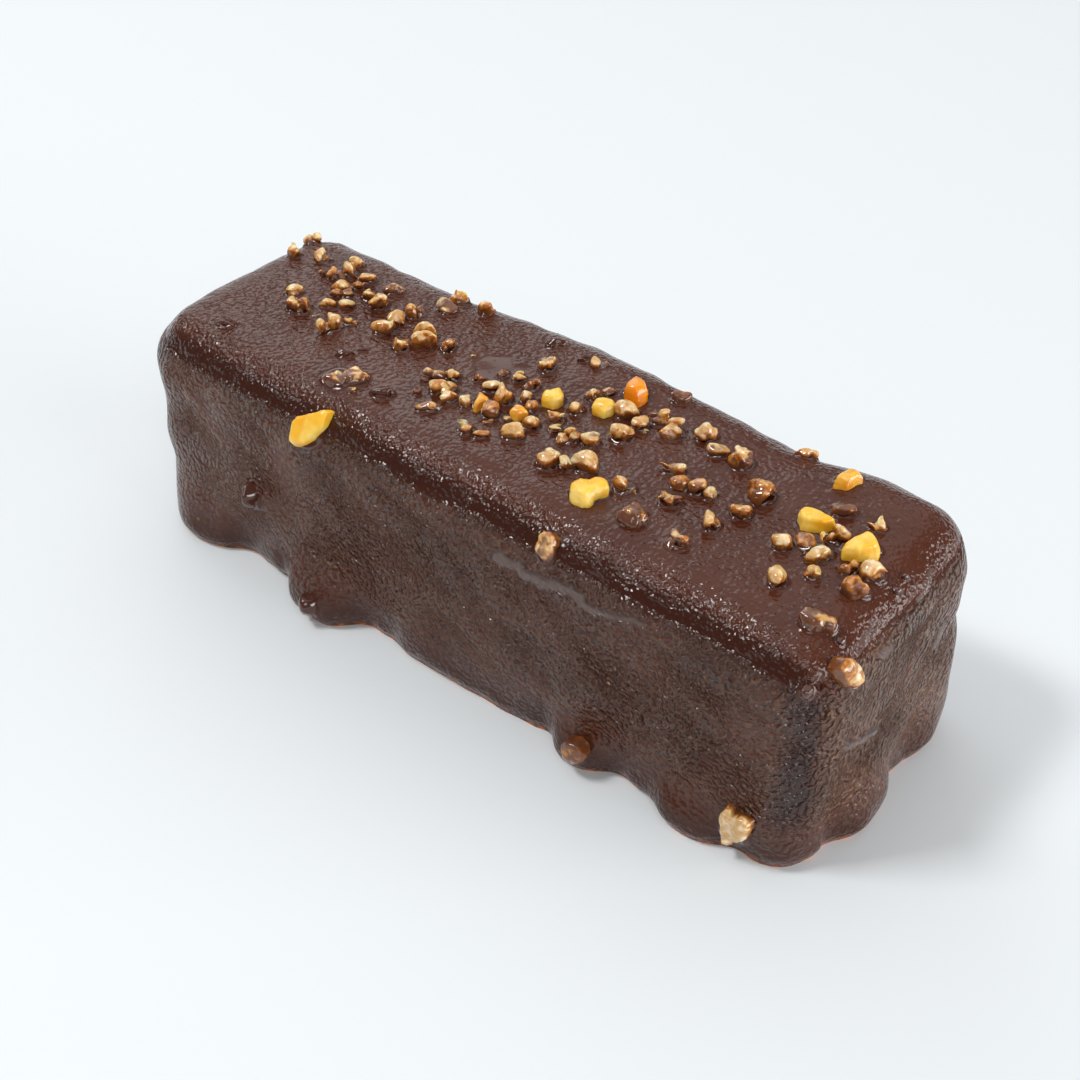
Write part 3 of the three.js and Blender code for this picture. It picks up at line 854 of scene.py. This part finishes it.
# ================================================================ Nut crumbs
# Some hundred smaller crumbs of the same nut, scattered over the top: pale (P), amber with glaze (A),
# filmed with chocolate (C), or part one and part the other. Each is where the photo shows it, with
# the width and height that it has there, all in pixels.
CRUMBS = """
294 252 12 14 P   309 241 11 10 P   317 237 8 8 P     323 257 16 13 P   357 263 14 12 P   350 270 13 14 P
324 275 10 8 C    336 274 18 14 A   366 279 19 11 PA  342 286 20 11 P   358 286 11 7 A    335 293 14 8 AC
347 294 12 8 C    328 303 16 10 P   347 304 15 8 P    294 291 17 11 P   293 305 14 14 PA  304 306 15 15 A
314 316 9 4 A     329 325 22 19 P   350 322 13 8 CA   369 295 14 12 PA  379 301 19 16 PA  394 290 20 11 C
383 328 22 14 PA  396 318 16 14 P   412 310 14 16 PA  421 312 9 12 C    401 345 16 13 PA  448 346 14 14 CA
473 356 6 4 P     433 376 24 12 C   452 375 14 14 P   443 388 25 14 PA  449 397 16 12 P   417 392 8 6 C
465 402 11 12 P   490 411 17 15 A   428 407 26 10 C   493 386 20 13 P   503 395 18 20 P   480 378 14 8 AC
503 373 12 12 AC  519 377 14 10 P   531 386 17 11 CA  526 397 12 12 PC  532 407 13 12 CA  531 423 17 12 PA
513 432 22 16 P   466 428 16 12 PC  481 434 16 8 PA   488 422 10 4 A    507 419 8 5 C     547 365 17 14 PC
556 418 16 16 PA  555 429 13 9 P    566 437 18 14 P   575 438 12 10 CA  590 441 19 13 PC  577 408 14 14 P
592 395 14 13 PC  609 393 14 8 CA   627 410 24 18 P   640 424 16 14 PC  646 431 6 5 P     622 433 24 21 P
600 363 18 11 P   659 417 20 15 PC  672 430 24 18 P   681 398 20 12 CA  706 433 21 18 P   718 451 22 12 PC
742 458 25 23 PC  673 469 24 11 PC  681 484 20 15 A   697 487 17 16 A   710 494 13 12 P   670 500 23 13 CA
625 485 22 17 P   677 540 24 16 C   712 522 17 18 PA  741 511 20 16 PA  762 493 26 22 A   782 541 19 17 P
548 460 24 17 PA  568 462 16 16 PA  584 463 26 20 P   807 455 22 12 P   844 510 24 13 C   877 525 18 12 P
811 538 26 22 P   838 534 22 20 P   848 567 20 14 A   873 570 26 19 P   812 572 16 14 P   777 578 18 19 P
460 298 18 14 P   447 308 20 14 PC  487 309 17 18 PA  352 390 8 5 C
"""
AMBER_SHARE = {"P": 0.1, "PA": 0.4, "A": 0.8, "PC": 0.2, "CA": 0.6, "AC": 0.8, "C": 0.4}
FILM_SHARE = {"P": 0.0, "PA": 0.0, "A": 0.0, "PC": 0.3, "CA": 0.45, "AC": 0.35, "C": 0.62}

# Twelve crumbs are chopped once: a few knobs run together, cut by a few flat breaks and worn round.
KNOB_SPREAD = 0.26
MASTERS = []
rng = np.random.default_rng(41)
for number in range(12):
    knobs = []
    for k in range(rng.integers(2, 6)):
        spot = rng.normal(size=3) * (0.0 if k == 0 else KNOB_SPREAD)
        bpy.ops.object.select_all(action="DESELECT")
        bpy.ops.mesh.primitive_ico_sphere_add(subdivisions=3, radius=MM, location=Vector(spot) * MM,
                                              scale=rng.uniform(0.22, 0.42, 3))
        knobs.append(added("crumb"))
    crumb = joined("crumb_%d" % number, knobs)
    bpy.ops.object.mode_set(mode="EDIT")
    for _ in range(rng.integers(1, 5)):
        way = rng.normal(size=3)
        way /= np.linalg.norm(way)
        bpy.ops.mesh.select_all(action="SELECT")
        cut = way * rng.uniform(0.26, 0.4) * MM
        bpy.ops.mesh.bisect(plane_co=cut, plane_no=way, use_fill=True, clear_outer=True)
    bpy.ops.object.mode_set(mode="OBJECT")
    ground_down(crumb, 0.06, 4)
    MASTERS.append(crumb)


def rows(listing, columns):
    """The words of a listing, that many to a row, and each row's number."""
    words = listing.split()
    return enumerate(words[k:k + columns] for k in range(0, len(words), columns))


def copy_of(master):
    piece = master.copy()
    piece.data = master.data.copy()
    bpy.context.scene.collection.objects.link(piece)
    return piece


WIDER, TALLER = 1.12, 1.22  # a crumb is made larger than it is seen, because the coat hides its foot
HEIGHT_SEEN = 0.758  # the share of a height over the chocolate that shows in the picture
BEND = 0.04  # how far a copy is bent out of its master's shape
SEAT_WIDE, SEAT_AWAY = 0.45, 0.42  # half-widths of its seat, in shares of its width and height


def placed_crumb(master, px, py, wide, tall, seed, sunk=0.24):
    """A copy of a crumb turned its own way, brought to the size seen, and pressed into the chocolate."""
    rng = np.random.default_rng(seed)
    base, out = ground(px, py)
    scale = FOCAL / (base - EYE).dot(FORWARD)
    width, height = WIDER * wide / scale, TALLER * tall / scale
    centre_up = height * (0.5 - sunk)
    base, out = ground(px, py + HEIGHT_SEEN * centre_up * scale)
    centre = base + out * centre_up
    way = sight(px, py)
    centre = EYE + way * ((centre - EYE).dot(FORWARD) / way.dot(FORWARD))
    side = (RIGHTWARD - out * RIGHTWARD.dot(out)).normalized()
    upright = np.array([side, out.cross(side), out])
    turn = np.linalg.qr(rng.normal(size=(3, 3)))[0]
    shape = points_of(master) @ (turn * np.sign(np.linalg.det(turn)))
    shape += BEND * np.stack([waves(shape, 0.8, seed + k) for k in range(3)], axis=1)
    shape -= (shape.max(axis=0) + shape.min(axis=0)) / 2
    shape /= shape.max(axis=0) - shape.min(axis=0)
    piece = copy_of(master)
    reshape(piece, (shape * (width, height, height)) @ upright + np.array(centre))
    SEATS.append((base, out, width * SEAT_WIDE, height * SEAT_AWAY))
    return piece, base, out, height


heap = {"pale": [], "amber": [], "filmed": []}
for number, (*sizes, look) in rows(CRUMBS, 5):
    px, py, wide, tall = map(float, sizes)
    master = MASTERS[number % len(MASTERS)]
    piece, base, out, height = placed_crumb(master, px, py, wide, tall, 100 + 5 * number)
    # Each crumb's glaze gathers at its foot, with painted shade on its sides.
    foot = glazed_and_shaded_over(piece, base, out, 0.65 * height, AMBER_SHARE[look])
    turned = Vector(np.random.default_rng(5 * number).normal(size=3)).normalized()
    filmed_over(piece, FILM_SHARE[look], 0.3 * foot, turned)
    kind = "filmed" if FILM_SHARE[look] > 0.4 else "amber" if AMBER_SHARE[look] > 0.5 else "pale"
    heap[kind].append(piece)

for kind, slot in (("pale", "caramelised_nut"), ("amber", "caramelised_nut"), ("filmed", "coated_nut")):
    crumbs = joined("crumbs_" + kind, heap[kind])
    crumbs.data.materials.clear()
    crumbs.data.materials.append(nut)
    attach(crumbs, "root")

# ================================================================ Wet chocolate
# Where a topping went in, the coat crept up round it in a thin bright collar. Nuts that the coat closed
# over are smooth bumps, and a few drips and drops stand on the sides.
BUMPS = "228 323 20 9   587 359 18 8   556 344 20 10   383 393 22 14   345 354 18 8   363 350 10 4"
BUMP_GLOSS, DROP_GLOSS = 0.8, 1.0
coated = []
for number, sizes in rows(BUMPS, 4):
    px, py, wide, tall = map(float, sizes)
    coated.append(placed_crumb(MASTERS[number], px, py, wide, tall, 900 + 4 * number, sunk=0.36)[0])
    mark(coated[-1], "wet", BUMP_GLOSS)

# Each drop has its place, width and height in pixels, and the share of it that is sunk in the coat.
DROPS = [
    (309, 605, 20, 20, 0.25),
    (252, 494, 17, 25, 0.3),
    (807, 691, 13, 13, 0.3),
    (811, 673, 10, 10, 0.32),
    (840, 641, 11, 8, 0.34),
    (897, 591, 10, 8, 0.34),
    (905, 577, 8, 7, 0.34),
]
bpy.ops.object.select_all(action="DESELECT")
bpy.ops.mesh.primitive_ico_sphere_add(subdivisions=4, radius=0.5 * MM)
drop = added("drop")
bpy.ops.object.shade_smooth()
for px, py, wide, tall, sunk in DROPS:
    coated.append(placed_crumb(drop, px, py, wide, tall, px, sunk)[0])
    mark(coated[-1], "wet", DROP_GLOSS)

# A collar is drawn once as a low round cushion of rings, then laid round each topping.
bpy.ops.object.select_all(action="DESELECT")
bpy.ops.mesh.primitive_uv_sphere_add(segments=32, ring_count=14, radius=MM)
cushion = added("collar")
bpy.ops.object.shade_smooth()
rings = points_of(cushion)
tilt = np.degrees(np.arccos(np.clip(rings[:, 2], -1, 1)))
around = np.arctan2(rings[:, 1], rings[:, 0])
upper = tilt < 90.5
ring = np.where(upper, tilt, 180 - tilt) / 90 * 7  # 0 at the pole, 7 at the rim
# Each ring's share of the topping's width, how far it lies past that, and how high over the coat.
RING_SHARE = [0, 0.6, 0.9, 1, 1, 1, 1, 1]
RING_OUT = [0, 0, 0, 0.04, 0.16, 0.3, 0.5, 0.75]
RING_RISE = [0.1, 0.2, 0.38, 0.42, 0.2, 0.08, 0.01, -0.08]
UNDER = 0.35  # how deep its underside lies in the coat
FULL_COLLAR = 0.9  # a topping with at least this half-width has a collar of the full size

for number, (base, out, wide, deep) in enumerate(SEATS):
    side = (RIGHTWARD - out * RIGHTWARD.dot(out)).normalized()
    away = out.cross(side)
    lobed = 1 + 0.16 * np.sin(2 * around + number) + 0.1 * np.sin(3 * around + 2.3 * number)
    lobed += 0.06 * np.sin(7 * around + number)
    spread = np.interp(ring, range(8), RING_OUT) * lobed * np.clip(min(wide, deep) / FULL_COLLAR, 0.4, 1)
    share_here = np.interp(ring, range(8), RING_SHARE)
    right = (wide * share_here + spread) * np.cos(around)
    far = (deep * share_here + spread) * np.sin(around)
    climb = 0.75 + 0.35 * np.sin(around * 2 + 1.7 * number) + 0.3 * np.sin(around * 5 + number)
    rise = np.interp(ring, range(8), RING_RISE) * np.where(ring < 6.5, climb, 1)
    strength = np.clip(min(wide, deep) / FULL_COLLAR, 0.25, 1)
    rise = np.where(ring < 6.5, rise * strength, rise)
    laid = np.empty_like(rings)
    for k in range(len(rings)):
        spot = base + side * right[k] + away * far[k]
        near = bar_surface.find_nearest(spot * MM)[0] / MM
        lift = Vector(way_out(np.array([near]))[0])
        laid[k] = near + lift * (rise[k] if upper[k] else -UNDER)
    piece = copy_of(cushion)
    reshape(piece, laid)
    mark(piece, "wet", np.where(upper, 1 - ramp(ring, 3.6, 5.6), 0))
    coated.append(piece)

wet_chocolate = joined("wet_chocolate", coated)
wet_chocolate.data.materials.clear()
wet_chocolate.data.materials.append(chocolate)
# The wet chocolate carries a little of the painted shade all over, and none of the other marks.
for name in ("pebbled", "beaded", "wrinkled", "bloom_and_sheen", "wisp_bloom_and_sheen", "painted_shade", "thin"):
    mark(wet_chocolate, name, 0.3 if name == "painted_shade" else 0.0)
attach(wet_chocolate, "root")
for spare in MASTERS + [drop, cushion]:
    bpy.data.objects.remove(spare)

# ================================================================ The floor and the light
# A plain pale surface. A small bright light high over the front left makes the coat sparkle, and a wide
# soft one hangs overhead. Weaker ones stand low behind to the left, low at the right end and behind the
# camera.
FLOOR_COLOUR = (0.77, 0.807, 0.828, 1)
ROOM_LIGHT = 0.2
bpy.ops.object.select_all(action="DESELECT")
bpy.ops.mesh.primitive_plane_add(size=4)
floor = added("floor")
floor.data.materials.append(new_finish("pale_floor", Roughness=0.9, Base_Color=FLOOR_COLOUR)[0])

bpy.context.scene.view_settings.view_transform = "Standard"

world = bpy.data.worlds.new("room")
bpy.context.scene.world = world
world.use_nodes = True
backdrop = world.node_tree.nodes["Background"]
backdrop.inputs["Color"].default_value = (1, 1, 1, 1)
backdrop.inputs["Strength"].default_value = ROOM_LIGHT


def softbox(name, way, distance, width, height, radiance):
    """A soft light that far off in that direction, facing the bar."""
    lamp = bpy.data.lights.new(name, "AREA")
    lamp.shape = "RECTANGLE"
    lamp.size, lamp.size_y = width, height
    lamp.energy = radiance * math.pi * width * height
    placed = bpy.data.objects.new(name, lamp)
    bpy.context.scene.collection.objects.link(placed)
    placed.location = Vector(way).normalized() * distance
    placed.rotation_euler = Vector(way).to_track_quat("Z", "Y").to_euler()


softbox("key", (-0.36, -0.38, 0.85), 0.9, 0.19, 0.19, 31.0)
softbox("overhead", (-0.28, 0.32, 0.90), 1.2, 1.9, 1.7, 0.74)
softbox("back_left", (-0.76, 0.48, 0.44), 1.2, 0.9, 0.7, 1.2)
softbox("right_side", (0.95, 0.25, 0.17), 1.1, 1.2, 0.46, 6.8)
softbox("by_the_camera", (0.50, -0.52, 0.69), 1.2, 0.6, 0.6, 2.8)
